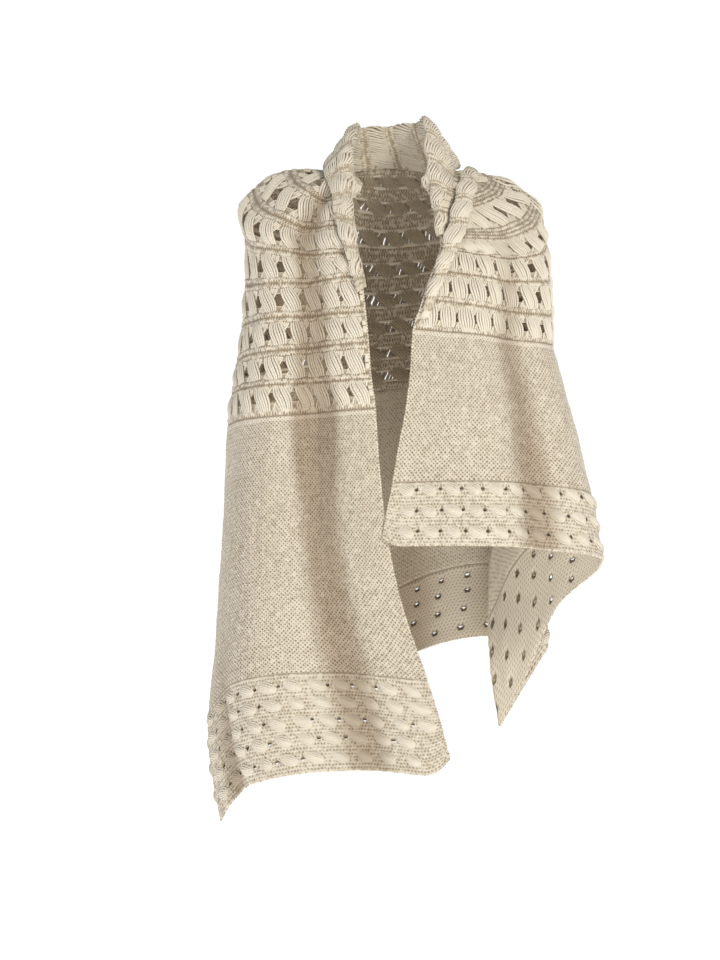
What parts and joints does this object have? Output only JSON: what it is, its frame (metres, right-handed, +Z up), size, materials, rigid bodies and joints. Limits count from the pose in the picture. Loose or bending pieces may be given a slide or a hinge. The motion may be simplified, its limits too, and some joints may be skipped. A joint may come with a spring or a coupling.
{
  "type": "open-front cardigan",
  "caption": "Chunky cream hand-knit open-front cardigan wrap with a turned shawl collar, lace yoke, plain body and patterned border, hanging unevenly from the shoulders.",
  "frame": {"origin": "middle of the wearer's neck base, level with the tops of the shoulders, where the garment hangs", "axes": "+Z up, the wearer faces -Y, +X towards the wearer's left"},
  "size_m": [0.5939, 0.3079, 1.0666],
  "materials": {
    "lace_knit": "matt undyed cotton, open lace stitch",
    "plain_knit": "matt undyed cotton, stocking stitch",
    "border_knit": "matt undyed cotton, crossed stitch and eyelets",
    "collar_knit": "matt undyed cotton, turned edge"
  },
  "bodies": {
    "root": {"right_front_yoke": "lace_knit", "back_yoke": "lace_knit", "left_front_yoke": "lace_knit", "right_front_body": "plain_knit", "back_body": "plain_knit", "left_front_body": "plain_knit", "right_front_border": "border_knit", "back_border": "border_knit", "left_front_border": "border_knit", "collar": "collar_knit", "left_lapel": "collar_knit"}
  },
  "joints": []
}
